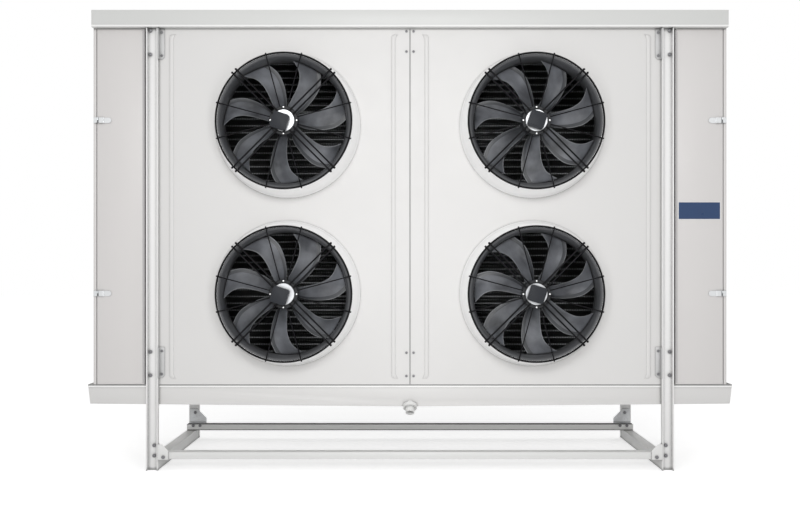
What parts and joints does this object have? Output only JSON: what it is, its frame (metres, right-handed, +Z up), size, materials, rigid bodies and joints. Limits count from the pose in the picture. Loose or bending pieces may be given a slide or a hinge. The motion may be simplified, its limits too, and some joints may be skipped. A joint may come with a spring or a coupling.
{
  "type": "walk-in unit cooler",
  "caption": "Floor-standing walk-in unit cooler: axial fans with wire guards before a finned coil block, hinged end doors, drain pan and a bolted channel stand.",
  "frame": {"origin": "centre of the four floor anchor holes, on the floor", "axes": "+X to the right across the fans, +Y to the rear air intake, +Z up"},
  "size_m": [3.436, 1.158, 2.443],
  "materials": {
    "white_sheet": "satin",
    "collar_white": "satin",
    "frame_white": "satin",
    "galvanised": "matte",
    "guard_black": "satin",
    "blade_grey": "satin",
    "motor_grey": "satin",
    "box_black": "satin",
    "zinc": "satin",
    "hinge_steel": "satin",
    "fins": "satin",
    "copper": "satin",
    "outlet_white": "satin"
  },
  "bodies": {
    "root": {"drain_collar": "outlet_white", "drain_outlet": "outlet_white", "drain_pan": "white_sheet", "fan_collar_lower_left": "collar_white", "fan_collar_lower_right": "collar_white", "fan_collar_upper_left": "collar_white", "fan_collar_upper_right": "collar_white", "fan_guard_lower_left": "guard_black", "fan_guard_lower_right": "guard_black", "fan_guard_upper_left": "guard_black", "fan_guard_upper_right": "guard_black", "fan_panel_left": "white_sheet", "fan_panel_right": "white_sheet", "fin_pack": "fins", "frame_bolts": "zinc", "front_cross_beam": "frame_white", "front_gusset_left": "frame_white", "front_gusset_right": "frame_white", "front_post_left": "frame_white", "front_post_right": "frame_white", "hinge_leaves_left": "hinge_steel", "hinge_leaves_right": "hinge_steel", "liquid_header": "copper", "mid_partition": "galvanised", "motor_screws": "zinc", "motor_stators": "motor_grey", "panel_bracket_lower_left": "frame_white", "panel_bracket_lower_right": "frame_white", "panel_bracket_upper_left": "frame_white", "panel_bracket_upper_right": "frame_white", "panel_screws": "zinc", "post_shoe_left": "galvanised", "post_shoe_right": "galvanised", "rear_cover_left": "white_sheet", "rear_cover_right": "white_sheet", "rear_cross_beam": "galvanised", "rear_gusset_left": "galvanised", "rear_gusset_right": "galvanised", "rear_post_left": "galvanised", "rear_post_right": "galvanised", "side_beam_left": "galvanised", "side_beam_right": "galvanised", "side_panel_left": "white_sheet", "side_panel_right": "white_sheet", "suction_header": "copper", "terminal_boxes": "box_black", "top_cover": "white_sheet", "tube_plate_left": "galvanised", "tube_plate_right": "galvanised"},
    "impeller_upper_left_body": {"impeller_upper_left": "blade_grey"},
    "impeller_upper_right_body": {"impeller_upper_right": "blade_grey"},
    "impeller_lower_left_body": {"impeller_lower_left": "blade_grey"},
    "impeller_lower_right_body": {"impeller_lower_right": "blade_grey"},
    "door_left_body": {"door_left": "white_sheet", "hinge_straps_left": "hinge_steel"},
    "door_right_body": {"door_right": "white_sheet", "hinge_straps_right": "hinge_steel"}
  },
  "joints": [
    {"name": "fan_spin_upper_left", "type": "hinge", "parent": "root", "child": "impeller_upper_left_body", "pos_m": [-0.651, -0.551, 1.835], "axis": [0, -1, 0], "continuous": true},
    {"name": "fan_spin_upper_right", "type": "hinge", "parent": "root", "child": "impeller_upper_right_body", "pos_m": [0.651, -0.551, 1.835], "axis": [0, -1, 0], "continuous": true},
    {"name": "fan_spin_lower_left", "type": "hinge", "parent": "root", "child": "impeller_lower_left_body", "pos_m": [-0.651, -0.551, 0.941], "axis": [0, -1, 0], "continuous": true},
    {"name": "fan_spin_lower_right", "type": "hinge", "parent": "root", "child": "impeller_lower_right_body", "pos_m": [0.651, -0.551, 0.941], "axis": [0, -1, 0], "continuous": true},
    {"name": "door_left_swing", "type": "hinge", "parent": "root", "child": "door_left_body", "pos_m": [-1.6705, -0.454, 1.4], "axis": [0, 0, -1], "range_deg": [0, 110]},
    {"name": "door_right_swing", "type": "hinge", "parent": "root", "child": "door_right_body", "pos_m": [1.6705, -0.454, 1.4], "axis": [0, 0, 1], "range_deg": [0, 110]}
  ]
}
